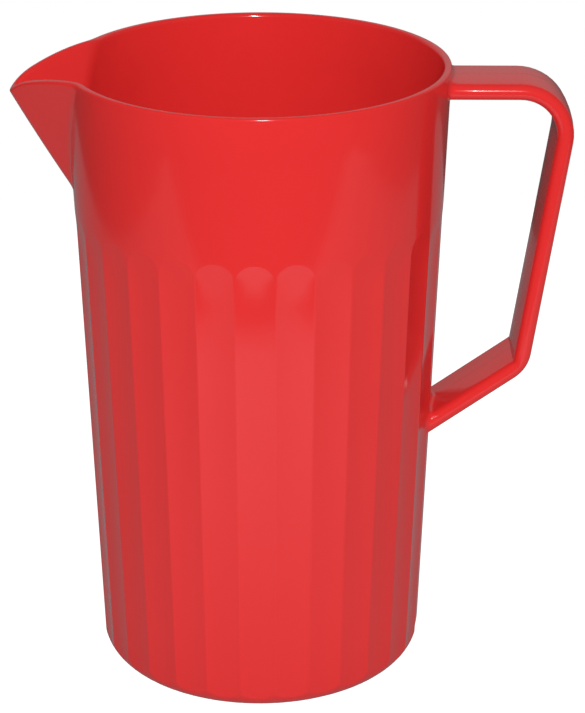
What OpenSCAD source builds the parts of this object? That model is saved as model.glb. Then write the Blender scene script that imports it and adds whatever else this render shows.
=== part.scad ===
// Moulded plastic pitcher: a fluted, tapered body with a pouring spout and a strap handle.
// Millimetres, +Z up, origin at the centre of the base on the ground.
// The spout points along -X and the handle along +X.

/* [Body] */
// Height of the rim above the ground
body_h = 202.4; // [180:0.1:230]
// Outer diameter of the body's cone at the height of the rim
rim_d = 121; // [112:0.5:132]
// Outer diameter of the body's cone carried down to the ground
base_d = 106; // [98:0.5:112]
// Thickness of the body's wall
wall_t = 2.5; // [2.2:0.1:3.2]
// Thickness of the floor
floor_t = 3; // [2:0.1:5]
// Outer rounding of the foot
foot_r = 7.7; // [5:0.1:11]
// Rounding of the inside corner between the floor and the wall
floor_r = 5.2; // [3:0.1:8]
// Width of the flat ring of the foot that the wall stands on
foot_ring_w = 4; // [2:0.1:8]

/* [Flutes] */
// Number of flutes around the body
flute_count = 30; // [24:6:36]
// Depth of a flute at its top end
flute_depth = 0.95; // [0.8:0.01:1.2]
// Plain strip left between two flutes at their top end
flute_land = 0.4; // [0.2:0.05:0.8]
// Plain height between the rim and the tops of the flutes
collar_h = 47; // [44:0.5:70]
// Lengthwise rounding where a flute runs out into the collar
flute_end_r = 18; // [8:0.5:24]

/* [Spout] */
// How far the spout's tip stands out from the rim
spout_reach = 17.5; // [12:0.1:24]
// How far the spout's tip lies below the rim
spout_drop = 9.6; // [5:0.1:14]
// Height of the spout, from the rim down to where its keel meets the wall
spout_h = 42.6; // [34:0.1:44]
// Half the angle between the spout's two sides, seen from above
spout_half_angle = 39; // [32:0.5:44]
// Outer rounding of the spout's keel
spout_nose_r = 6; // [4:0.1:8]
// Thickness of the spout's wall
spout_t = 2.3; // [1.8:0.1:3]
// Radius of the arc on which the spout's edge droops, seen from the side
spout_lip_r = 40; // [25:0.5:60]

/* [Handle] */
// Thickness of the strap
strap_t = 5.4; // [4:0.1:7]
// Width of the strap
strap_w = 24.6; // [16:0.1:28]
// Rounding of the strap's four long edges
strap_edge_r = 2.5; // [1:0.05:2.6]
// Height from the middle of the upper arm to the rim
arm_drop = 7.4; // [5:0.1:14]
// Height from the lower corner of the handle to its upper corner, along the middle of the strap
grip_h = 91.5; // [78:0.1:100]
// Distance from the wall to the middle of the strap at the upper corner
grip_gap_top = 37.8; // [32:0.1:46]
// Distance from the wall to the middle of the strap at the lower corner
grip_gap_bottom = 27.7; // [22:0.1:34]
// Slope of the lower arm, in degrees down towards the wall
lower_arm_angle = 35.3; // [20:0.1:45]
// Bend radius of the upper corner, to the middle of the strap
upper_bend_r = 14.4; // [8:0.1:20]
// Bend radius of the lower corner, to the middle of the strap
lower_bend_r = 8.7; // [6:0.1:12]

/* [Hidden] */
$fn = 180;
red = [0.86, 0.12, 0.11];

// Distance that a cutting shape runs past what it cuts
overrun = 6;
// Height by which a rounding stands proud of the flat that it runs into, so that the two cross cleanly
seam = 0.02;
// Number of flat steps in the roundings of the wall and of the flutes' ends
rounding_steps = 8;
// Length by which the straight parts of the strap reach into its bends
lap = 0.3;

// Outer cone of the body
rim_r = rim_d / 2;
base_r = base_d / 2;
taper = (rim_r - base_r) / body_h;
taper_angle = atan(taper);
apex_depth = base_r / taper;
lip_r = wall_t / 2;

// Outer radius of the body's cone at a height
function cone_r(z) = base_r + taper * z;

// Slanted wall thickness measured along the radius
function across(t) = t / cos(taper_angle);

// Radius at which a rounding between a level z and a wall line leaves that level
function rounding_r(z, r, inset) = cone_r(z + r) - across(inset + r);

// Points of an arc in flat steps
function arc(centre, r, from, to) = [
    for (i = [0 : rounding_steps])
        let (a = from + (to - from) * i / rounding_steps)
            centre + r * [cos(a), sin(a)]
];

foot_flat_r = rounding_r(0, foot_r, 0);
floor_flat_r = rounding_r(floor_t, floor_r, wall_t);
seat_r = foot_flat_r - foot_ring_w;

// Flutes: each is cut by a slim cone that shares its point with the body's cone
flute_top_z = body_h - collar_h;
flute_run = sqrt(2 * flute_end_r * flute_depth - pow(flute_depth, 2));
flute_full_z = flute_top_z - flute_run;
flute_wall_r = cone_r(flute_full_z);
flute_half_angle = 180 / flute_count - asin(flute_land / 2 / flute_wall_r);
flute_sag = flute_wall_r * (1 - cos(flute_half_angle));
flute_axis_r = flute_depth * (2 * flute_wall_r - flute_depth) / (2 * (flute_depth - flute_sag));
flute_r = flute_axis_r - flute_wall_r + flute_depth;
flute_tilt = atan(flute_axis_r / (apex_depth + flute_full_z));
flute_len = norm([flute_axis_r, apex_depth + flute_full_z]);
flute_start = flute_len - flute_full_z - overrun;
flute_pitch = 360 / flute_count;
// The rounding at a flute's end goes on until the cutting cone stands clear of the wall by the flute's depth
flute_end_angle = acos(1 - 2 * flute_depth / flute_end_r);
// Flutes are cut in passes, so that neighbouring cutters never meet
flute_passes = 6;

// Spout: the keel runs from the wall up and out to the tip
keel_z = body_h - spout_h;
keel_r = cone_r(keel_z);
tip_r = rim_r + spout_reach;
tip_z = body_h - spout_drop;
keel_angle = atan((tip_r - keel_r) / (tip_z - keel_z));
keel_len = spout_h / cos(keel_angle);
keel_top_r = keel_r + spout_h * tan(keel_angle);
spout_section_angle = atan(tan(spout_half_angle) / cos(keel_angle));
// The spout's sides end inside the body, this far round from the keel
throat_angle = 44;
spout_side_len = (keel_top_r - rim_r * cos(throat_angle)) * cos(keel_angle);
lip_run = sqrt(2 * spout_lip_r * spout_drop - pow(spout_drop, 2));
lip_start_r = tip_r - lip_run;

// Handle: corners of the strap's middle line, as [x, z]
arm_z = body_h - arm_drop;
elbow_z = arm_z - grip_h;
upper_corner = [cone_r(arm_z) + grip_gap_top, arm_z];
lower_corner = [cone_r(elbow_z) + grip_gap_bottom, elbow_z];
arm_dir = [1, 0];
grip_dir = (lower_corner - upper_corner) / norm(lower_corner - upper_corner);
lower_dir = [-cos(lower_arm_angle), -sin(lower_arm_angle)];
upper_turn = acos(arm_dir * grip_dir);
lower_turn = acos(grip_dir * lower_dir);
upper_tangent = upper_bend_r * tan(upper_turn / 2);
lower_tangent = lower_bend_r * tan(lower_turn / 2);
arm_root = [cone_r(arm_z) - strap_t, arm_z];
lower_arm_len = (lower_corner[0] - cone_r(elbow_z) + 2 * strap_t) / cos(lower_arm_angle);
lower_root = lower_corner + lower_arm_len * lower_dir;

// Half section of the wall: rounded foot, full-round rim and rounded floor corner
module wall_section() {
    lip_z = body_h - lip_r;
    lip_centre = [cone_r(lip_z) - across(lip_r), lip_z];
    polygon(concat(
        [[seat_r, 0]],
        arc([foot_flat_r, foot_r], foot_r, -90, -taper_angle),
        arc(lip_centre, lip_r, -taper_angle, 180 - taper_angle),
        arc([floor_flat_r, floor_t + floor_r], floor_r, -taper_angle, -90),
        [[seat_r, floor_t]]
    ));
}

// Half section of a flute's cutting cone, measured along its own axis from its point
module flute_section() {
    run_out = arc([flute_r - flute_end_r, flute_len], flute_end_r, 0, flute_end_angle);
    polygon(concat(
        [[0, flute_start]],
        [[flute_r * flute_start / flute_len, flute_start]],
        run_out,
        [[0, run_out[rounding_steps][1]]]
    ));
}

// The cutting cones of every flute of one pass
module flutes(pass) {
    for (i = [pass : flute_passes : flute_count - 1])
        rotate([0, 0, 90 + i * flute_pitch])
            translate([0, 0, -apex_depth])
                rotate([0, flute_tilt, 0])
                    rotate_extrude()
                        flute_section();
}

// Its child with the flutes cut into it, pass by pass
module fluted(pass = flute_passes - 1) {
    difference() {
        if (pass > 0)
            fluted(pass - 1)
                children();
        else
            children();
        flutes(pass);
    }
}

// V section of the spout square to its keel, pointing to -X and drawn in by the inset
module spout_section(inset) {
    nose_r = spout_nose_r - inset;
    side_len = spout_side_len + inset;
    side_x = spout_nose_r - (nose_r - seam) * sin(spout_section_angle);
    side_y = (nose_r - seam) * cos(spout_section_angle);
    end_y = side_y + (side_len - side_x) * tan(spout_section_angle);
    polygon([
        [side_x, side_y],
        [side_x, -side_y],
        [side_len, -end_y],
        [side_len, end_y]
    ]);
    translate([spout_nose_r, 0])
        circle(nose_r);
}

// Slanting V column of the spout, from below its keel's foot to above the rim
module spout_column(inset) {
    ends = overrun + inset;
    translate([-keel_r, 0, keel_z])
        rotate([0, -keel_angle, 0])
            translate([0, 0, -ends])
                linear_extrude(keel_len + 2 * ends)
                    spout_section(inset);
}

// What is cut away above the drooping edge of the spout and above the rim
module above_lip() {
    cut_r = tip_r + spout_h;
    rotate([90, 0, 0])
        linear_extrude(rim_d, center = true) {
            difference() {
                translate([-cut_r, tip_z - overrun])
                    square([cut_r - lip_start_r, spout_h + 2 * overrun]);
                translate([-lip_start_r, body_h - spout_lip_r])
                    circle(spout_lip_r);
            }
            translate([-lip_start_r - overrun, body_h + seam])
                square([lip_start_r + overrun, spout_h]);
        }
}

// Section of the handle's strap, drawn in by the inset: thickness along X, width along Y
module strap_section(inset = 0) {
    edge_r = min(strap_edge_r, strap_t / 2 - seam);
    flat_t = strap_t - 2 * edge_r;
    flat_w = strap_w - 2 * edge_r;
    square([flat_t, strap_w - 2 * inset], center = true);
    square([strap_t - 2 * inset, flat_w], center = true);
    for (x = [-1, 1], y = [-1, 1])
        translate([x * flat_t / 2, y * flat_w / 2])
            circle(edge_r - inset);
}

// Straight length of strap between two points of the handle's middle line
module strap_bar(from, to) {
    run = to - from;
    translate([from[0], 0, from[1]])
        rotate([0, atan2(run[0], run[1]), 0])
            linear_extrude(norm(run))
                strap_section();
}

// Bend of the strap at a corner of its middle line, from one direction into the next
module strap_bend(corner, dir_in, dir_out, r) {
    turn = acos(dir_in * dir_out);
    inwards = (dir_out - dir_in) / norm(dir_out - dir_in);
    centre = corner + inwards * r / cos(turn / 2);
    bend_end = corner + dir_out * r * tan(turn / 2);
    spoke = bend_end - centre;
    translate([centre[0], 0, centre[1]])
        rotate([90, 0, 0])
            rotate([0, 0, atan2(spoke[1], spoke[0])])
                rotate_extrude(angle = turn)
                    translate([r, 0])
                        strap_section(seam);
}

// The tapered wall with its flutes, opened towards the spout
module body() {
    color(red)
        fluted()
            difference() {
                rotate_extrude()
                    wall_section();
                spout_column(spout_t);
            }
}

// The floor disc inside the foot
module base() {
    color(red)
        cylinder(h = floor_t, r = seat_r);
}

// The pouring lip, from the outside of the wall outwards
module spout() {
    top_z = body_h + spout_h;
    color(red)
        difference() {
            spout_column(0);
            spout_column(spout_t);
            cylinder(h = top_z, r1 = base_r, r2 = cone_r(top_z));
            above_lip();
        }
}

// The strap handle, its ends shaped to the fluted wall
module handle() {
    upper_reach = upper_tangent - lap;
    lower_reach = lower_tangent - lap;
    color(red)
        difference() {
            union() {
                strap_bar(arm_root, upper_corner - upper_reach * arm_dir);
                strap_bend(upper_corner, arm_dir, grip_dir, upper_bend_r);
                strap_bar(upper_corner + upper_reach * grip_dir, lower_corner - lower_reach * grip_dir);
                strap_bend(lower_corner, grip_dir, lower_dir, lower_bend_r);
                strap_bar(lower_corner + lower_reach * lower_dir, lower_root);
            }
            fluted()
                cylinder(h = body_h, r1 = base_r, r2 = rim_r);
        }
}

body();
base();
spout();
handle();
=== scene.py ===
"""Looks of a moulded plastic pitcher: fluted body, floor, spout and handle on a white stage."""

from math import acos, atan, cos, pi, radians, sin, tan

import bmesh
import bpy
import numpy as np
from bpy.props import FloatProperty, FloatVectorProperty, IntProperty, PointerProperty
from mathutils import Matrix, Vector


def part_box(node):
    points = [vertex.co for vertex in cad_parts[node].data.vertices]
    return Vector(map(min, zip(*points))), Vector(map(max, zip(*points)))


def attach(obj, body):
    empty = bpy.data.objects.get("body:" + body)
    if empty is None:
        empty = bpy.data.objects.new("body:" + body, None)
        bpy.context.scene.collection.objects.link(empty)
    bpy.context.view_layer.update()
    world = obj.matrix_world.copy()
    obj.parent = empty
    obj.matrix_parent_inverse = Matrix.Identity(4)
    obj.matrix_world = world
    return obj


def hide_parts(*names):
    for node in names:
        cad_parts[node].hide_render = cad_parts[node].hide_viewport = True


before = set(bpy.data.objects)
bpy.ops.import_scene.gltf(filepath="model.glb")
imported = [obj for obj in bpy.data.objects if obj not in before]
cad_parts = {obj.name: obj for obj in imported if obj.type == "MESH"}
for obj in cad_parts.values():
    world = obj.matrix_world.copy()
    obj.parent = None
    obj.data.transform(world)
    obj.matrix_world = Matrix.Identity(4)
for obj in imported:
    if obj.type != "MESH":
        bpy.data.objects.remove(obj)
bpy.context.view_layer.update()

bl_info = {
    "name": "Moulded pitcher",
    "version": (1, 0, 0),
    "blender": (4, 5, 0),
    "location": "3D View > Sidebar > Pitcher",
    "description": "Models a fluted plastic pitcher over its packed solids and lights it",
    "category": "Object",
}

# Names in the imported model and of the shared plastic.
ROOT = "root"
PLASTIC = "red_moulded_plastic"

# Points closer than WELD are one point, and edges sharper than CREASE stay sharp. A point within
# SPLIT_NEAR of the split's angle lies on the split. A search by halves takes HALVINGS steps.
WELD = 1e-6
CREASE = radians(48)
SPLIT_NEAR = radians(0.02)
HALVINGS = 50

# Columns across half a flute and rows of the wall, as shares of the stretch that they divide.
FLUTE_COLUMNS = (0.26, 0.5, 0.7, 0.85, 0.94, 1)
FLUTE_ROWS = (0.003, *np.linspace(0.04, 1, 8))
RUN_OUT_ROWS = (0.14, 0.28, 0.41, 0.53, 0.64, 0.74, 0.82, 0.89, 0.94, 0.975, 1)
COLLAR_ROWS = (0.12, 0.5, 1)
RIM_ROWS = (0.35, 0.7)

# Points round the wall's roundings, and heights of rows down the plain inside.
FOOT_POINTS, FLOOR_ROUND_POINTS = 8, 8
RIM_OUTER_POINTS, RIM_INNER_POINTS = 6, 7
INNER_COLLAR_POINTS = 4
INNER_HEIGHTS = (0.11, 0.06, 0.03)

# The run-out's rows start a margin below it, and the limit leaves the arch some width at its top.
RUN_OUT_MARGIN = 0.001
ARCH_LIMIT = 0.9999

# Moulding mark under the floor: its step inwards and upwards, and the face's edge inside it.
FLOOR_POINTS = 180
GATE_STEP, GATE_DEPTH, GATE_FACE = 0.0004, 0.0003, 0.0012

# Columns of the spout's half sheet in degrees, from its plane outwards and back from the split.
SPOUT_COLUMNS = (*np.arange(0.25, 5, 0.25), *np.arange(5, 27.5, 0.5), 28.5, 30, 31.5, 33, 34.5)
SPOUT_EDGE_COLUMNS = (0.6, 0.15, 0)
SPOUT_ROWS = 40

# The tip goes a little past the solid's. Its curl grows over the last share of the spout's reach
# and somewhat beyond. The lip's height is settled in rounds, each of which goes part of the way,
# and slopes are taken over a small step.
TIP_PAST = 0.0002
CURL_SHARE, CURL_LIMIT = 0.1, 1.2
LIP_ROUNDS, LIP_STEP = 60, 0.5
SLOPE_STEP = 1e-5

# The strap: points round its section, cuts along its faces, and steps of its bends and fillets.
SECTION_POINTS, FACE_CUTS = 36, 13
BEND_POINTS, CORNER_STEPS, FILLET_POINTS = 15, 12, 8

# The arms end short of the wall by so many fillets, their lines meet it within WALL_REACH, and
# their ends go into it by a share of its thickness.
ARM_ROOTS, LOWER_ROOTS = 2.5, 3.2
WALL_REACH = 0.03
ROOT_SINK = 0.5

# The plastic's pigment clouds and moulded skin are noise, with so many cells to the metre, and
# both make the gloss uneven about the noise's middle value.
CLOUDS = {"Scale": 28.0, "Detail": 3.0, "Roughness": 0.55}
SKIN = {"Scale": 420.0, "Detail": 2.0, "Roughness": 0.5}
UNEVEN_GLOSS, NOISE_MIDDLE = 0.05, 0.5
REFRACTION, SPECULAR = 1.5, 0.5

# The foot's scuff is full up to a height, and takes a share of the colour and of the gloss.
SCUFF_FULL = 0.0004
SCUFF_COLOUR, SCUFF_GLOSS = 0.4, 0.3

# The strap's parting line fades out to its sides, and in over a distance from the axis.
SEAM_SIDE = (0.0001, 0.0004)
SEAM_START = (0.0622, 0.064)
BUMP_HEIGHT = 0.0001
SKIN_BUMP, SEAM_BUMP = 0.02, 0.35

# Sockets of a Mix node for colours.
MIX_FIRST, MIX_SECOND, MIX_RESULT = 6, 7, 2

# The stage: the camera's sensor in millimetres, how far the floor lies below the base, the white
# of the room and of the floor's glow, and the ways to the back and up over which the light behind
# the object grows.
SENSOR = 36
FLOOR_DROP = 0.0003
WHITE = (1, 1, 1, 1)
GLOW = (1, 1, 0.98, 1)
BACKWARDS = (0.35, 0.8)
UPWARDS = (-0.4, 0.45)


def length(name, text, default):
    """A length in metres that a user may change."""
    return FloatProperty(name=name, description=text, default=default, min=0, unit="LENGTH",
                         precision=5)


def angle(name, text, default):
    """An angle that a user may change, its default in degrees."""
    return FloatProperty(name=name, description=text, default=radians(default), subtype="ANGLE")


def share(name, text, default):
    """A plain number that a user may change."""
    return FloatProperty(name=name, description=text, default=default, min=0, precision=4)


def colour(name, text, default):
    """A linear colour that a user may change."""
    return FloatVectorProperty(name=name, description=text, default=default, subtype="COLOR",
                               size=3, min=0, max=1)


def point(name, text, default):
    """A place or a way in metres that a user may change."""
    return FloatVectorProperty(name=name, description=text, default=default,
                               subtype="TRANSLATION", unit="LENGTH", precision=6)


class PitcherBodySettings(bpy.types.PropertyGroup):
    """Sizes of the fluted wall and the floor."""

    height: length("Height", "Height of the rim above the ground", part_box("body")[1].z)
    rim_radius: length("Rim radius", "Outer radius of the cone at the rim", 0.0605)
    foot_radius: length("Foot radius", "Outer radius of the cone carried down to the ground", 0.053)
    wall: length("Wall", "Thickness of the wall", 0.0025)
    floor: length("Floor", "Thickness of the floor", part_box("base")[1].z)
    floor_radius: length("Floor radius", "Radius of the floor disc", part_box("base")[1].x)
    rim_outer: length("Rim outside", "Outer rounding of the rim", 0.0008)
    rim_inner: length("Rim inside", "Inner rounding of the rim", 0.00125)
    foot_round: length("Foot rounding", "Outer rounding of the foot", 0.0077)
    floor_round: length("Floor rounding", "Rounding between the floor and the wall inside", 0.0052)
    flutes: IntProperty(name="Flutes", description="Number of flutes around the body", default=30,
                        min=12)
    flute_depth: length("Flute depth", "Depth of a flute below its run-out", 0.00065)
    flute_land: length("Flute land", "Width of the ridge between two flutes", 0.0003)
    flute_top: length("Flute top", "Height of the flutes' tops", 0.1561)
    flute_arch: length("Flute arch", "Rise of the arch at a flute's top", 0.00535)
    flute_run: length("Flute run-out", "Length over which a flute gets shallower up to its top",
                      0.014)
    gate_radius: length("Gate mark", "Radius of the moulding mark under the floor", 0.004)


class PitcherSpoutSettings(bpy.types.PropertyGroup):
    """Sizes of the pouring spout."""

    split_height: length("Split height", "Height at which the spout's sheet of wall starts", 0.1569)
    split_angle: angle("Split angle", "Half the angle of wall that the spout's sheet takes up", 36)
    tip_radius: length("Tip radius", "Distance of the spout's tip from the axis",
                       TIP_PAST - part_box("spout")[0].x)
    tip_drop: length("Tip drop", "Depth of the tip below the rim", 0.00944)
    keel_height: length("Keel height", "Height of the keel's foot on the wall", 0.1602)
    keel_bow: length("Keel bow", "Outward bow of the keel half-way up", 0.0003)
    half_angle: angle("Half angle", "Half the angle between the spout's sides, seen from above", 39)
    nose_top: length("Nose at the tip", "Rounding of the keel at the tip, seen from above", 0.0058)
    nose_foot: length("Nose at the foot", "Rounding of the keel at its foot, seen from above",
                      0.0046)
    lip_start: length("Lip start", "Distance from the axis at which the edge starts to droop",
                      0.0517)
    lip_curve: share("Lip curve", "Droop of the edge over the square of its length, per metre",
                     10.5)
    tip_curl: length("Tip curl", "Extra droop at the very tip", 0.0024)
    junction: length("Junction", "Reach of the soft blend between spout and wall", 0.0012)


class PitcherHandleSettings(bpy.types.PropertyGroup):
    """Sizes of the strap handle."""

    thickness: length("Thickness", "Thickness of the strap at its sides", 0.00525)
    width: length("Width", "Width of the strap", 0.0247)
    crown: length("Crown", "Rise of the strap's faces towards their middle", 0.00035)
    arm_drop: length("Arm drop", "Depth of the upper arm's middle below the rim", 0.0066)
    grip_height: length("Grip height", "Height from the lower corner to the upper one", 0.0916)
    gap_top: length("Upper gap", "Distance from the wall to the upper corner", 0.03797)
    gap_bottom: length("Lower gap", "Distance from the wall to the lower corner", 0.02772)
    lower_slope: angle("Lower slope", "Slope of the lower arm down to the wall", 35.57)
    upper_bend: length("Upper bend", "Bend radius of the upper corner's middle line", 0.0144)
    lower_round: length("Lower rounding", "Outer rounding of the lower corner", 0.0125)
    root_fillet: length("Root fillet", "Fillet above the strap where it meets the wall", 0.0026)
    root_under: length("Root fillet below", "Fillet under the strap where it meets the wall",
                       0.0006)


class PitcherFinishSettings(bpy.types.PropertyGroup):
    """Colour and gloss of the plastic."""

    red: colour("Red", "Colour of the plastic", (0.80, 0.031, 0.029))
    deep_red: colour("Deep red", "Colour where the pigment lies thicker", (0.76, 0.027, 0.027))
    worn_red: colour("Worn red", "Colour of the plastic where the foot is scuffed",
                     (0.80, 0.10, 0.09))
    scuff_height: length("Scuff height", "Height up to which the foot is scuffed", 0.003)
    roughness: share("Roughness", "Roughness of the moulded skin", 0.115)


class PitcherStageSettings(bpy.types.PropertyGroup):
    """Camera, floor and lights."""

    eye: point("Eye", "Place of the camera", (0.01765, -0.747303, 0.415702))
    tilt: angle("Tilt", "Tilt of the camera up from straight down", 67.965)
    turn: angle("Turn", "Turn of the camera about the vertical", 0.6)
    lens: FloatProperty(name="Lens", description="Focal length in millimetres", default=124.86,
                        unit="CAMERA")
    shift: FloatVectorProperty(name="Shift", description="Shift of the picture",
                               default=(0.00384, -0.042643), size=2)
    flash_watts: FloatProperty(name="Flash", description="Power of the small lamp by the camera",
                               default=15.2, unit="POWER")
    flash_distance: length("Flash distance", "Distance of the lamp from the object", 1.5)
    flash_size: length("Flash size", "Width of the lamp", 0.067)
    flash_height: length("Flash aim", "Height on the object at which the lamp is aimed", 0.12)
    flash_offset: point("Flash offset", "Way from the camera's line to the lamp's", (0.03, 0, 0.03))
    floor: colour("Floor", "Colour of the floor", (0.42, 0.42, 0.43))
    # The floor's spot, its place and its radius paint a pool of light into the floor's colour:
    # lighter and bluer in front of the object and fading out, in place of the lamp's light falling
    # off over the floor.
    floor_painted_light: colour("Floor spot", "Colour of the floor's bright spot", (0.82, 0.88, 1.0))
    painted_light_place: point("Spot place", "Middle of the floor's bright spot", (0.02, -0.27, 0))
    painted_light_radius: length("Spot radius", "Distance over which the bright spot fades", 0.30)
    floor_glow: share("Floor glow", "Glow that makes the floor white to the camera", 0.93)
    floor_front: length("Floor front", "Distance from the object's axis to the floor's front edge",
                        0.325)
    floor_left: length("Floor left", "Distance from the object's axis to the floor's left edge",
                       0.42)
    floor_right: length("Floor right", "Distance from the object's axis to the floor's right edge",
                        0.48)
    floor_back: length("Floor back", "Distance from the object's axis to the floor's back edge",
                       0.45)
    room: share("Room", "Light of the room all round", 0.06)
    behind: share("Behind", "Light of the room behind the object", 0.40)
    fill: share("Fill", "Soft light on the object from all round", 0.29)
    back_fill: share("Back fill", "Soft light on the object's back", 0.3)


def arc(r, z, radius, turns):
    """Points round a circle in the wall's section, as radius and height."""
    return [(r + radius * cos(turn), z + radius * sin(turn)) for turn in turns]


class WallShape:
    """Surfaces of the pitcher's wall, worked out from the settings."""

    def __init__(self, scene):
        body, spout = scene.pitcher_body, scene.pitcher_spout
        self.body, self.spout = body, spout
        self.taper = (body.rim_radius - body.foot_radius) / body.height
        self.lean = atan(self.taper)
        self.pitch = 2 * pi / body.flutes
        self.run_z = body.flute_top - body.flute_run
        self.spring_z = body.flute_top - body.flute_arch
        self.half = self.pitch / 2 - body.flute_land / 2 / self.cone(self.run_z)
        self.tip_z = body.height - spout.tip_drop
        self.keel_z, self.keel_r = spout.keel_height, self.cone(spout.keel_height)
        self.keel_slope = (spout.tip_radius - self.keel_r) / (self.tip_z - self.keel_z)

    def cone(self, z):
        """Outer radius of the plain cone at a height."""
        return self.body.foot_radius + self.taper * z

    def across(self, t):
        """A slanted thickness measured along the radius."""
        return t / cos(self.lean)

    def flute_radius(self, theta, z):
        """Radius of the fluted wall at an angle from a flute's middle, its dished top included."""
        b = self.body
        theta, z = np.broadcast_arrays(np.asarray(theta, float), np.asarray(z, float))
        plain = self.cone(z)
        deep = b.flute_depth * plain / self.cone(self.run_z)
        deep = deep * (1 - np.clip((z - self.run_z) / b.flute_run, 0, 1) ** 2)
        up_arch = np.clip((z - self.spring_z) / b.flute_arch, 0, ARCH_LIMIT)
        aside = np.minimum(np.abs(theta) / (self.half * np.sqrt(1 - up_arch ** 2)), 1)
        return plain - np.where(z < b.flute_top, deep * (1 - aside ** 2), 0)

    def arch_height(self, theta):
        """Height at which a flute runs out into the collar."""
        aside = np.minimum(np.abs(theta) / self.half, 1)
        return self.spring_z + self.body.flute_arch * np.sqrt(1 - aside ** 2)

    def foot_point(self, turn):
        """Radius and height on the foot's rounding."""
        foot = self.body.foot_round
        centre = self.cone(foot) - self.across(foot)
        return centre + foot * np.cos(turn), foot * (1 + np.sin(turn))

    def foot_angle(self, theta):
        """Angle on the foot's rounding at which the flute starts."""
        low, high = np.full_like(theta, -pi / 2), np.full_like(theta, -self.lean)
        for _ in range(HALVINGS):
            mid = (low + high) / 2
            r, z = self.foot_point(mid)
            past = r > self.flute_radius(theta, z)
            low, high = np.where(past, low, mid), np.where(past, mid, high)
        return (low + high) / 2

    def flute_columns(self):
        """Angles across one flute, from ridge to ridge."""
        half = np.array([*[self.half * s for s in FLUTE_COLUMNS], self.pitch / 2])
        return np.concatenate([-half[::-1], [0], half])

    def flute_rows(self):
        """Angles across one flute, and rows of radii and heights there, once round the section."""
        b, theta, split = self.body, self.flute_columns(), self.spout.split_height
        flat = np.ones_like(theta)
        start, arch = self.foot_angle(theta), self.arch_height(theta)
        rows = [(b.floor_radius * flat, 0 * flat)]
        for s in np.linspace(0, 1, FOOT_POINTS):
            rows.append(self.foot_point(-pi / 2 + (start + pi / 2) * s))
        foot = rows[-1][1]
        straight = self.run_z - RUN_OUT_MARGIN
        heights = [foot + s * (straight - foot) for s in FLUTE_ROWS]
        heights += [straight + s * (arch - straight) for s in RUN_OUT_ROWS]
        rows += [(self.flute_radius(theta, z), z) for z in heights]
        heights = [arch + s * (split - arch) for s in COLLAR_ROWS]
        rows += [(self.cone(z), z) for z in heights]
        rows += [(r * flat, z * flat) for r, z in self.rim_and_inside()]
        rows.append(rows[0])
        return theta, rows

    def rim_and_inside(self):
        """Points of the section from the collar over the rim and down to the floor's edge."""
        b, split, lean = self.body, self.spout.split_height, self.lean
        outer_z, inner_z = b.height - b.rim_outer, b.height - b.rim_inner
        outer_r = self.cone(outer_z) - self.across(b.rim_outer)
        inner_r = self.cone(inner_z) - self.across(b.wall - b.rim_inner)
        floor_z = b.floor + b.floor_round
        floor_r = self.cone(floor_z) - self.across(b.wall + b.floor_round)
        inner_split = split + b.wall * sin(lean)
        collar = [split + s * (outer_z - split) for s in RIM_ROWS]
        inside = [*np.linspace(inner_z, inner_split, INNER_COLLAR_POINTS)[1:], *INNER_HEIGHTS]
        return [
            *[(self.cone(z), z) for z in collar],
            *arc(outer_r, outer_z, b.rim_outer, np.linspace(-lean, pi / 2, RIM_OUTER_POINTS)),
            *arc(inner_r, inner_z, b.rim_inner, np.linspace(pi / 2, pi - lean, RIM_INNER_POINTS)),
            *[(self.cone(z) - self.across(b.wall), z) for z in inside],
            *arc(floor_r, floor_z, b.floor_round, np.linspace(-lean, -pi / 2, FLOOR_ROUND_POINTS)),
            (b.floor_radius, b.floor),
        ]

    def radius_at(self, x, y, z):
        """Outer radius of the fluted wall towards a point."""
        turn = np.arctan2(y, x) - pi / 2
        theta = (turn + self.pitch / 2) % self.pitch - self.pitch / 2
        return self.flute_radius(theta, z)

    def spout_radius(self, phi, z):
        """Outer radius at an angle from the spout's plane: the cone blended with the spout's V."""
        s, phi = self.spout, np.abs(phi)
        plain = self.cone(z)
        along = np.clip((z - self.keel_z) / (self.tip_z - self.keel_z), 0, 1)
        nose = s.nose_foot + (s.nose_top - s.nose_foot) * along
        bow = 4 * s.keel_bow * along * (1 - along)
        front = self.keel_r + self.keel_slope * (z - self.keel_z) + bow
        apex = front + nose * (1 / sin(s.half_angle) - 1)
        side = apex * sin(s.half_angle) / np.sin(phi + s.half_angle)
        centre = front - nose
        inside = np.maximum(nose ** 2 - (centre * np.sin(phi)) ** 2, 0)
        round_r = centre * np.cos(phi) + np.sqrt(inside)
        on_nose = (inside > 0) & (round_r * np.sin(phi) <= nose * cos(s.half_angle))
        vee = np.where(on_nose, round_r, side)
        reach = np.maximum(s.junction - np.abs(vee - plain), 0)
        return np.maximum(vee, plain) + reach ** 2 / (4 * s.junction)

    def spout_point(self, phi, z):
        """Point of the outer surface; the spout points along -X."""
        r = self.spout_radius(phi, z)
        return np.stack([-r * np.cos(phi), r * np.sin(phi), z], axis=-1)

    def spout_normal(self, phi, z):
        """Outward normal of the outer surface."""
        step = SLOPE_STEP
        across = self.spout_point(phi + step, z) - self.spout_point(phi - step, z)
        up = self.spout_point(phi, z + step) - self.spout_point(phi, z - step)
        normal = np.cross(up, across)
        return normal / np.linalg.norm(normal, axis=-1, keepdims=True)

    def lip_height(self, reach):
        """Height of the spout's drooping edge at a distance from the axis."""
        s = self.spout
        past = np.maximum(reach - s.lip_start, 0)
        curl = (reach - (1 - CURL_SHARE) * s.tip_radius) / (CURL_SHARE * s.tip_radius)
        curl = np.clip(curl, 0, CURL_LIMIT)
        return self.body.height - s.lip_curve * past ** 2 - s.tip_curl * curl ** 3

    def spout_columns(self):
        """Angles across the spout's sheet, close together on the nose and the sides."""
        edge = self.spout.split_angle - np.radians(SPOUT_EDGE_COLUMNS)
        half = np.append(np.radians(SPOUT_COLUMNS), edge)
        return np.concatenate([-half[::-1], [0], half])

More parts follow.
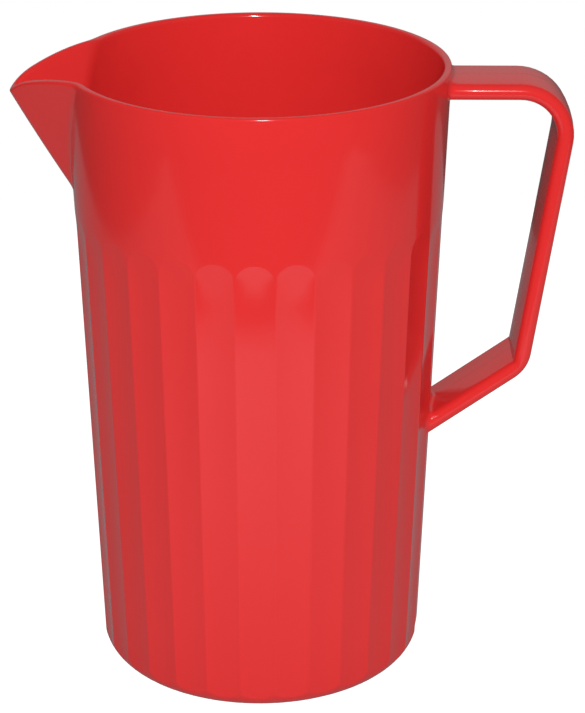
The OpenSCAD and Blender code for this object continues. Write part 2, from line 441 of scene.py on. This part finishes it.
    def lip_level(self, phi):
        """Height at each column at which the outside ends and the lip's rounding starts."""
        outer_round = self.body.rim_outer
        top = np.full_like(phi, self.body.height - self.body.wall)
        for _ in range(LIP_ROUNDS):
            normal = self.spout_normal(phi, top)
            centre = self.spout_point(phi, top) - outer_round * normal
            level = self.lip_height(-centre[:, 0]) - outer_round + outer_round * normal[:, 2]
            top = (1 - LIP_STEP) * top + LIP_STEP * level
        return top

    def spout_rows(self):
        """Rows of points of the spout's sheet: up the outside, over the lip and down the inside."""
        phi, low = self.spout_columns(), self.spout.split_height
        wall, outer_round, inner_round = self.body.wall, self.body.rim_outer, self.body.rim_inner
        top = self.lip_level(phi)
        outer, inner = [], []
        for s in np.linspace(0, 1, SPOUT_ROWS):
            z = low + s * (top - low)
            outer.append(self.spout_point(phi, z))
            z = low + s * (top + outer_round - inner_round - low)
            inner.append(self.spout_point(phi, z) - wall * self.spout_normal(phi, z))
        normal = self.spout_normal(phi, top)
        centre = outer[-1] - outer_round * normal
        up = np.cross(np.gradient(centre, axis=0), normal)
        up /= np.linalg.norm(up, axis=-1, keepdims=True)
        up *= np.sign(up[:, 2:3])
        turns = np.linspace(0, pi / 2, RIM_OUTER_POINTS)[1:]
        lip = [centre + outer_round * (cos(t) * normal + sin(t) * up) for t in turns]
        centre = outer[-1] - (wall - inner_round) * normal + (outer_round - inner_round) * up
        turns = np.linspace(pi / 2, pi, RIM_INNER_POINTS)[:-1]
        lip += [centre + inner_round * (cos(t) * normal + sin(t) * up) for t in turns]
        return [*outer, *lip, *inner[::-1], outer[0]]


def named(name):
    """Names the piece that was just added, and its mesh."""
    piece = bpy.context.object
    piece.name = piece.data.name = name
    return piece


def bent_sheet(name, rows):
    """Adds a flat grid and moves its points onto rows of places, as the start of a piece."""
    bpy.ops.object.select_all(action="DESELECT")
    bpy.ops.mesh.primitive_grid_add(x_subdivisions=len(rows[0]) - 1, y_subdivisions=len(rows) - 1,
                                    size=1)
    piece = named(name)
    places = np.concatenate([np.asarray(r, np.float32) for r in rows])
    piece.data.vertices.foreach_set("co", places.ravel())
    piece.data.update()
    return piece


def edit(piece, select="DESELECT"):
    """Goes into edit mode on one piece."""
    bpy.ops.object.select_all(action="DESELECT")
    bpy.context.view_layer.objects.active = piece
    piece.select_set(True)
    bpy.ops.object.mode_set(mode="EDIT")
    bpy.ops.mesh.select_mode(type="VERT")
    bpy.ops.mesh.select_all(action=select)


def pick(piece, test):
    """Selects in edit mode the vertices that pass a test."""
    bpy.ops.mesh.select_all(action="DESELECT")
    bm = bmesh.from_edit_mesh(piece.data)
    for v in bm.verts:
        v.select = bool(test(v))
    bm.select_flush(True)
    bmesh.update_edit_mesh(piece.data)


def off_spout(v):
    """Angle of a vertex from the spout's plane."""
    return abs(np.arctan2(v.co.y, -v.co.x))


def close_split(piece, wall):
    """Closes both sides of the split between the body and the spout's sheet."""
    edge, low = wall.spout.split_angle, wall.spout.split_height
    for side in (-1, 1):
        pick(piece, lambda v: (abs(off_spout(v) - edge) < SPLIT_NEAR and v.co.y * side > 0
                               and v.co.z > low - WELD))
        bpy.ops.mesh.edge_face_add()


def finish_piece(piece, node, material):
    """Closes a piece: normals, shading, material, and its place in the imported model."""
    bpy.ops.mesh.select_all(action="SELECT")
    bpy.ops.mesh.normals_make_consistent(inside=False)
    bpy.ops.mesh.select_all(action="DESELECT")
    bpy.ops.object.mode_set(mode="OBJECT")
    bpy.ops.object.shade_smooth_by_angle(angle=CREASE)
    bpy.ops.object.transform_apply(location=True, rotation=True, scale=True)
    piece.data.materials.clear()
    piece.data.materials.append(material)
    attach(piece, ROOT)
    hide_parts(node)
    piece.select_set(False)


class Term:
    """A value in a shader: sums, differences and products of terms add Math nodes."""

    def __init__(self, shader, socket):
        self.shader, self.socket = shader, socket

    def maths(self, operation, first, second):
        return self.shader.add("ShaderNodeMath", {"operation": operation}, {0: first, 1: second})

    def __add__(self, other):
        return self.maths("ADD", self, other)

    def __sub__(self, other):
        return self.maths("SUBTRACT", self, other)

    def __rsub__(self, other):
        return self.maths("SUBTRACT", other, self)

    def __mul__(self, other):
        return self.maths("MULTIPLY", self, other)

    __radd__, __rmul__ = __add__, __mul__


class Shader:
    """Node tree of a material or a world, filled from the empty tree."""

    def __init__(self, owner):
        owner.use_nodes = True
        self.tree = owner.node_tree
        self.tree.nodes.clear()

    def add(self, kind, settings=None, inputs=None, output=0):
        """Adds a node, its settings first and then its sockets, and gives one of its outputs."""
        node = self.tree.nodes.new(kind)
        for key, value in (settings or {}).items():
            setattr(node, key, value)
        for key, value in (inputs or {}).items():
            if isinstance(value, Term):
                self.tree.links.new(value.socket, node.inputs[key])
            else:
                node.inputs[key].default_value = value
        return Term(self, node.outputs[output]) if node.outputs else node

    def axis(self, place, name):
        """One coordinate of a place."""
        return self.add("ShaderNodeSeparateXYZ", None, {"Vector": place}, name)

    def rise(self, value, low, high, step="SMOOTHSTEP"):
        """A value that goes from 0 to 1 while another goes from low to high."""
        return self.add("ShaderNodeMapRange", {"interpolation_type": step},
                        {"Value": value, "From Min": low, "From Max": high})

    def blend(self, factor, first, second):
        """A colour that goes from the first to the second with a factor."""
        return self.add("ShaderNodeMix", {"data_type": "RGBA"},
                        {"Factor": factor, MIX_FIRST: first, MIX_SECOND: second}, MIX_RESULT)


def moulded_plastic(finish):
    """Glossy red plastic: faint clouds, a fine uneven skin, a scuffed foot and a parting line."""
    material = bpy.data.materials.new(PLASTIC)
    shader = Shader(material)
    place = shader.add("ShaderNodeTexCoord", output="Object")
    clouds = shader.add("ShaderNodeTexNoise", None, {"Vector": place, **CLOUDS})
    skin = shader.add("ShaderNodeTexNoise", None, {"Vector": place, **SKIN})
    height = shader.axis(place, "Z")
    scuff = skin * (1 - shader.rise(height, SCUFF_FULL, finish.scuff_height, "LINEAR"))
    red = shader.blend(clouds, (*finish.deep_red, 1), (*finish.red, 1))
    red = shader.blend(SCUFF_COLOUR * scuff, red, (*finish.worn_red, 1))
    gloss = finish.roughness + SCUFF_GLOSS * scuff
    for noise in (skin, clouds):
        gloss = gloss + UNEVEN_GLOSS * (noise - NOISE_MIDDLE)
    aside = shader.add("ShaderNodeMath", {"operation": "ABSOLUTE"}, {0: shader.axis(place, "Y")})
    on_strap = shader.rise(shader.axis(place, "X"), *SEAM_START, "LINEAR")
    seam = (1 - shader.rise(aside, *SEAM_SIDE)) * on_strap
    normal = shader.add("ShaderNodeBump", None,
                        {"Strength": 1.0, "Distance": BUMP_HEIGHT,
                         "Height": SKIN_BUMP * skin + SEAM_BUMP * seam})
    plastic = shader.add("ShaderNodeBsdfPrincipled", None,
                         {"Base Color": red, "Roughness": gloss, "Normal": normal,
                          "IOR": REFRACTION, "Specular IOR Level": SPECULAR})
    shader.add("ShaderNodeOutputMaterial", None, {"Surface": plastic})
    return material


def plastic_of(scene):
    """The plastic that every piece shares, made once."""
    return bpy.data.materials.get(PLASTIC) or moulded_plastic(scene.pitcher_finish)


class PITCHER_OT_body(bpy.types.Operator):
    """Model the fluted wall: one flute's strip, copied round the axis, with room for the spout"""

    bl_idname = "pitcher.body"
    bl_label = "Fluted body"

    def execute(self, context):
        wall = WallShape(context.scene)
        theta, rows = wall.flute_rows()
        turn = theta + pi / 2
        piece = bent_sheet("body_wall", [np.stack([r * np.cos(turn), r * np.sin(turn), z], axis=-1)
                                         for r, z in rows])
        edit(piece, "SELECT")
        copies = wall.body.flutes - 1
        bpy.ops.mesh.spin(steps=copies, dupli=True, angle=wall.pitch * copies, center=(0, 0, 0),
                          axis=(0, 0, 1))
        bpy.ops.mesh.select_all(action="SELECT")
        bpy.ops.mesh.remove_doubles(threshold=WELD)
        self.open_notch(piece, wall)
        finish_piece(piece, "body", plastic_of(context.scene))
        return {"FINISHED"}

    def open_notch(self, piece, wall):
        """Takes out the sheet of wall that the spout's piece fills, and closes the cut."""
        edge, low = wall.spout.split_angle, wall.spout.split_height
        pick(piece, lambda v: off_spout(v) < edge + SPLIT_NEAR and v.co.z > low - WELD)
        bpy.ops.mesh.select_mode(type="FACE")
        bpy.ops.mesh.delete(type="FACE")
        bpy.ops.mesh.select_mode(type="VERT")
        bpy.ops.mesh.select_all(action="DESELECT")
        bpy.ops.mesh.select_non_manifold(extend=False, use_wire=False, use_boundary=True,
                                         use_multi_face=False, use_non_contiguous=False,
                                         use_verts=False)
        bm = bmesh.from_edit_mesh(piece.data)
        cut = [e for e in bm.edges if e.select]
        if not cut:
            raise RuntimeError("the notch for the spout was not cut")
        for e in bm.edges:
            e.select = False
        for e in cut:
            middle = (e.verts[0].co + e.verts[1].co) / 2
            e.select = middle.z < low + wall.body.wall / 2
        bm.select_flush(False)
        bmesh.update_edit_mesh(piece.data)
        bpy.ops.mesh.select_mode(type="EDGE")
        bpy.ops.mesh.bridge_edge_loops()
        bpy.ops.mesh.select_mode(type="VERT")
        close_split(piece, wall)
        bpy.ops.mesh.select_all(action="SELECT")
        bpy.ops.mesh.fill_holes(sides=4)


class PITCHER_OT_floor(bpy.types.Operator):
    """Model the floor disc inside the foot, with the moulding mark under it"""

    bl_idname = "pitcher.floor"
    bl_label = "Floor"

    def execute(self, context):
        body = context.scene.pitcher_body
        bpy.ops.object.select_all(action="DESELECT")
        bpy.ops.mesh.primitive_circle_add(vertices=FLOOR_POINTS, radius=body.floor_radius,
                                          fill_type="NGON")
        piece = named("floor_disc")
        edit(piece, "SELECT")
        bpy.ops.mesh.extrude_region_move(TRANSFORM_OT_translate={"value": (0, 0, body.floor)})
        pick(piece, lambda v: v.co.z < WELD)
        bpy.ops.mesh.select_mode(type="FACE")
        mark = body.floor_radius - body.gate_radius
        for inwards, up in ((mark, 0), (GATE_STEP, GATE_DEPTH), (GATE_FACE, 0)):
            bpy.ops.mesh.inset(thickness=inwards, depth=0)
            bpy.ops.transform.translate(value=(0, 0, up))
        finish_piece(piece, "base", plastic_of(context.scene))
        return {"FINISHED"}


class PITCHER_OT_spout(bpy.types.Operator):
    """Model the pouring spout: a sheet of wall drawn out to a V, with a drooping rounded lip"""

    bl_idname = "pitcher.spout"
    bl_label = "Spout"

    def execute(self, context):
        wall = WallShape(context.scene)
        piece = bent_sheet("spout_lip", wall.spout_rows())
        edit(piece, "SELECT")
        bpy.ops.mesh.remove_doubles(threshold=WELD)
        close_split(piece, wall)
        finish_piece(piece, "spout", plastic_of(context.scene))
        return {"FINISHED"}


def outwards(turn):
    """Direction in x and z at an angle from straight up."""
    return np.array((sin(turn), cos(turn)))


def in_space(way):
    """A direction in x and z as one in space."""
    return np.array((way[0], 0.0, way[1]))


class PITCHER_OT_handle(bpy.types.Operator):
    """Model the strap handle: full-round sides, run along its bends and filleted onto the wall"""

    bl_idname = "pitcher.handle"
    bl_label = "Handle"

    def execute(self, context):
        wall, handle = WallShape(context.scene), context.scene.pitcher_handle
        self.lay_out(wall, handle)
        piece = self.strap_section(handle)
        self.current = np.array([v.co for v in bmesh.from_edit_mesh(piece.data).verts])
        self.local = np.stack([self.current[:, 2] - self.arm_z, self.current[:, 1]], axis=-1)
        for middle, across, thick in self.stations(handle):
            self.extrude_to(piece, self.section_at(middle, across, thick / handle.thickness))
        end = self.section_at(self.lower_start, self.low_across, 1)
        self.join_wall(piece, wall, handle, end, -self.low_dir, -self.low_across)
        start = self.section_at(self.arm_start, (0, 1), 1)
        self.pick_places(piece, start)
        self.join_wall(piece, wall, handle, start, (1, 0), (0, 1))
        finish_piece(piece, "handle", plastic_of(context.scene))
        return {"FINISHED"}

    def lay_out(self, wall, handle):
        """Corners, directions and bends of the strap's middle line, in x and z."""
        slope, fillet = handle.lower_slope, handle.root_fillet
        self.arm_z = wall.body.height - handle.arm_drop
        low_z = self.arm_z - handle.grip_height
        self.upper = np.array((wall.cone(self.arm_z) + handle.gap_top, self.arm_z))
        self.lower = np.array((wall.cone(low_z) + handle.gap_bottom, low_z))
        run = self.lower - self.upper
        self.grip_dir = run / np.linalg.norm(run)
        self.low_dir = np.array((-cos(slope), -sin(slope)))
        self.turn, self.fold = acos(self.grip_dir[0]), acos(self.grip_dir @ self.low_dir)
        self.low_across = outwards(self.turn + self.fold)
        self.arm_start = np.array((wall.cone(self.arm_z) + ARM_ROOTS * fillet, self.arm_z))
        reach = (self.lower[0] - wall.cone(low_z)) / cos(slope) - LOWER_ROOTS * fillet
        self.lower_start = self.lower + reach * self.low_dir

    def strap_section(self, handle):
        """The strap's section, square to the upper arm: a circle drawn out to full-round sides."""
        bpy.ops.object.select_all(action="DESELECT")
        bpy.ops.mesh.primitive_circle_add(vertices=SECTION_POINTS, radius=handle.thickness / 2,
                                          fill_type="NOTHING", rotation=(0, pi / 2, 0),
                                          location=(self.arm_start[0], 0, self.arm_z))
        piece = named("strap_handle")
        bpy.ops.object.transform_apply(location=True, rotation=True, scale=True)
        edit(piece, "SELECT")
        bpy.ops.transform.rotate(value=pi / SECTION_POINTS, orient_axis="X",
                                 center_override=(0, 0, self.arm_z))
        half = (handle.width - handle.thickness) / 2
        for side in (-1, 1):
            pick(piece, lambda v: v.co.y * side > 0)
            bpy.ops.transform.translate(value=(0, side * half, 0))
        bm = bmesh.from_edit_mesh(piece.data)
        bpy.ops.mesh.select_mode(type="EDGE")
        bpy.ops.mesh.select_all(action="DESELECT")
        for e in bm.edges:
            e.select = e.calc_length() > half
        bmesh.update_edit_mesh(piece.data)
        bpy.ops.mesh.subdivide(number_cuts=FACE_CUTS)
        bm = bmesh.from_edit_mesh(piece.data)
        for v in bm.verts:
            rise = handle.crown * max(1 - (v.co.y / half) ** 2, 0)
            v.co.z += rise if v.co.z > self.arm_z else -rise
        bmesh.update_edit_mesh(piece.data)
        bpy.ops.mesh.select_mode(type="VERT")
        bpy.ops.mesh.select_all(action="SELECT")
        return piece

    def section_at(self, middle, across, stretch):
        """The section's points about a middle point, its thickness along a direction in x and z."""
        t = self.local[:, 0] * stretch
        return np.stack([middle[0] + t * across[0], self.local[:, 1], middle[1] + t * across[1]],
                        axis=-1)

    def stations(self, handle):
        """Middle point, thickness direction and thickness at each step from the upper arm on."""
        thickness, bend, corner = handle.thickness, handle.upper_bend, handle.lower_round
        turn, fold, low_across = self.turn, self.fold, self.low_across
        centre = self.upper - np.array((bend * tan(turn / 2), bend))
        found = [(centre + bend * outwards(a), outwards(a), thickness)
                 for a in np.linspace(0, turn, BEND_POINTS)]
        grip_out = outwards(turn)
        mitre = grip_out + low_across
        mitre = mitre / np.linalg.norm(mitre) * thickness / 2 / cos(fold / 2)
        inner, outer = self.lower - mitre, self.lower + mitre
        centre = outer - grip_out * corner - self.grip_dir * corner * tan(fold / 2)
        begin = centre + (corner - thickness) * grip_out
        end = centre + (corner - thickness) * low_across
        for s in np.linspace(0, 2, CORNER_STEPS + 1):
            out = centre + corner * outwards(turn + fold * s / 2)
            back = begin + (inner - begin) * s if s <= 1 else inner + (end - inner) * (s - 1)
            across = out - back
            thick = np.linalg.norm(across)
            found.append(((out + back) / 2, across / thick, thick))
        found.append((self.lower_start, low_across, thickness))
        return found

    def extrude_to(self, piece, places):
        """Extrudes the selected ring and moves the new ring onto its places, point by point."""
        bpy.ops.mesh.extrude_region_move()
        bm = bmesh.from_edit_mesh(piece.data)
        for v in bm.verts:
            if v.select:
                nearest = np.argmin(((self.current - np.array(v.co)) ** 2).sum(axis=1))
                v.co = Vector(places[nearest])
        self.current = places
        bmesh.update_edit_mesh(piece.data)

    def pick_places(self, piece, places):
        """Selects the ring that lies on given places."""
        pick(piece, lambda v: ((places - np.array(v.co)) ** 2).sum(axis=1).min() < WELD ** 2)
        self.current = places

    def join_wall(self, piece, wall, handle, section, away, up):
        """Runs the strap's end through a fillet onto the wall and into it, and closes it."""
        for places in self.fillet(wall, handle, section, in_space(away), in_space(up)):
            self.extrude_to(piece, places)
        bpy.ops.mesh.edge_face_add()

    def fillet(self, wall, handle, section, away, up):
        """Rings of the fillet, which is small under the strap, and the end inside the wall."""
        half = (handle.width - handle.thickness) / 2
        side = section - section.mean(axis=0)
        side[:, 1] -= np.clip(side[:, 1], -half, half)
        side /= np.linalg.norm(side, axis=1, keepdims=True)
        above = (side @ up + 1)[:, None] / 2
        r = handle.root_under + (handle.root_fillet - handle.root_under) * above
        rings = []
        for a in np.linspace(0, pi / 2, FILLET_POINTS):
            foot = self.on_wall(wall, section + side * r * (1 - cos(a)), away)
            rings.append(foot + away * r * (1 - sin(a)))
        rings.append(self.on_wall(wall, section, away) - away * ROOT_SINK * wall.body.wall)
        return rings

    def on_wall(self, wall, points, away):
        """Where lines from points meet the wall."""
        near, far = np.zeros(len(points)), np.full(len(points), WALL_REACH)
        for _ in range(HALVINGS):
            mid = (near + far) / 2
            x, y, z = (points - mid[:, None] * away).T
            outside = np.hypot(x, y) > wall.radius_at(x, y, z)
            near, far = np.where(outside, mid, near), np.where(outside, far, mid)
        return points - near[:, None] * away


class PITCHER_OT_stage(bpy.types.Operator):
    """Set up the camera, the white floor and the lights"""

    bl_idname = "pitcher.stage"
    bl_label = "Stage"

    def execute(self, context):
        stage = context.scene.pitcher_stage
        self.camera(context, stage)
        self.floor(stage)
        self.room(context, stage)
        self.lamp(stage)
        context.scene.view_settings.view_transform = "Standard"
        return {"FINISHED"}

    def camera(self, context, stage):
        """The camera of the photograph."""
        bpy.ops.object.camera_add(location=stage.eye, rotation=(stage.tilt, 0, stage.turn))
        eye = context.object
        eye.name = "camera"
        eye.data.lens = stage.lens
        eye.data.sensor_width = SENSOR
        eye.data.shift_x, eye.data.shift_y = stage.shift
        eye.data.dof.use_dof = False
        context.scene.camera = eye

    def floor(self, stage):
        """A white floor that ends short of the camera and keeps the object's shadow; a pool of
        light in front of the object is painted into its colour.
        """
        left, right, front, back = (stage.floor_left, stage.floor_right, stage.floor_front,
                                    stage.floor_back)
        bpy.ops.object.select_all(action="DESELECT")
        bpy.ops.mesh.primitive_plane_add(size=1, location=(0, 0, -FLOOR_DROP))
        floor = named("stage_floor")
        edit(floor, "SELECT")
        bpy.ops.transform.resize(value=(left + right, front + back, 1))
        bpy.ops.transform.translate(value=((right - left) / 2, (back - front) / 2, 0))
        bpy.ops.object.mode_set(mode="OBJECT")
        material = bpy.data.materials.new("white_floor")
        shader = Shader(material)
        place = shader.add("ShaderNodeTexCoord", output="Object")
        # Painted pool of light: the floor's colour is lighter and bluer near the spot's place in
        # front of the object and fades to the plain floor colour further away.
        away = shader.add("ShaderNodeVectorMath", {"operation": "DISTANCE"},
                          {0: place, 1: stage.painted_light_place}, "Value")
        floor_with_painted_light = shader.blend(shader.rise(away, 0.0, stage.painted_light_radius), (*stage.floor_painted_light, 1),
                            (*stage.floor, 1))
        lit = shader.add("ShaderNodeBsdfPrincipled", None,
                         {"Base Color": floor_with_painted_light, "Roughness": 1.0, "Specular IOR Level": 0.0})
        seen = shader.add("ShaderNodeLightPath", output="Is Camera Ray")
        glow = shader.add("ShaderNodeEmission", None,
                          {"Color": GLOW, "Strength": stage.floor_glow * seen})
        both = shader.add("ShaderNodeAddShader", None, {0: lit, 1: glow})
        shader.add("ShaderNodeOutputMaterial", None, {"Surface": both})
        floor.data.materials.append(material)

    def room(self, context, stage):
        """White to the camera; to the object a dim room, lighter behind it."""
        world = bpy.data.worlds.new("room")
        context.scene.world = world
        shader = Shader(world)
        way = shader.add("ShaderNodeTexCoord", output="Generated")
        behind = shader.rise(shader.axis(way, "Y"), *BACKWARDS)
        raised = shader.rise(shader.axis(way, "Z"), *UPWARDS)
        diffuse = shader.add("ShaderNodeLightPath", output="Is Diffuse Ray")
        level = stage.room + behind * raised * stage.behind
        level = level + diffuse * (stage.fill + stage.back_fill * behind)
        sky = shader.add("ShaderNodeBackground", None, {"Color": WHITE, "Strength": level})
        white = shader.add("ShaderNodeBackground", None, {"Color": WHITE, "Strength": 1.0})
        seen = shader.add("ShaderNodeLightPath", output="Is Camera Ray")
        mix = shader.add("ShaderNodeMixShader", None, {0: seen, 1: sky, 2: white})
        shader.add("ShaderNodeOutputWorld", None, {"Surface": mix})

    def lamp(self, stage):
        """A small lamp on the camera's side, far enough to light the whole height evenly."""
        aim = Vector((0, 0, stage.flash_height))
        way = (Vector(stage.eye) + Vector(stage.flash_offset) - aim).normalized()
        bpy.ops.object.light_add(type="AREA", location=aim + way * stage.flash_distance)
        lamp = bpy.context.object
        lamp.name = "flash"
        lamp.data.shape = "DISK"
        lamp.data.size = stage.flash_size
        lamp.data.energy = stage.flash_watts
        lamp.rotation_euler = way.to_track_quat("Z", "Y").to_euler()


class PITCHER_PT_panel(bpy.types.Panel):
    """Buttons and sizes of the pitcher"""

    bl_label = "Pitcher"
    bl_idname = "PITCHER_PT_panel"
    bl_space_type = "VIEW_3D"
    bl_region_type = "UI"
    bl_category = "Pitcher"

    def draw(self, context):
        for operator in OPERATORS:
            self.layout.operator(operator.bl_idname)
        for name in GROUPS:
            group = getattr(context.scene, name)
            box = self.layout.box()
            for key in group.__annotations__:
                box.prop(group, key)


OPERATORS = [PITCHER_OT_stage, PITCHER_OT_body, PITCHER_OT_floor, PITCHER_OT_spout,
             PITCHER_OT_handle]
GROUPS = {
    "pitcher_body": PitcherBodySettings,
    "pitcher_spout": PitcherSpoutSettings,
    "pitcher_handle": PitcherHandleSettings,
    "pitcher_finish": PitcherFinishSettings,
    "pitcher_stage": PitcherStageSettings,
}
CLASSES = [*GROUPS.values(), *OPERATORS, PITCHER_PT_panel]


def register():
    """Registers the classes and hangs the settings on the scene."""
    for cls in CLASSES:
        bpy.utils.register_class(cls)
    for name, cls in GROUPS.items():
        setattr(bpy.types.Scene, name, PointerProperty(type=cls))


def unregister():
    """Takes back what register did."""
    for name in GROUPS:
        delattr(bpy.types.Scene, name)
    for cls in reversed(CLASSES):
        bpy.utils.unregister_class(cls)


def main():
    """Builds the pitcher and its stage."""
    register()
    bpy.ops.pitcher.stage()
    bpy.ops.pitcher.body()
    bpy.ops.pitcher.floor()
    bpy.ops.pitcher.spout()
    bpy.ops.pitcher.handle()


if __name__ == "__main__":
    main()
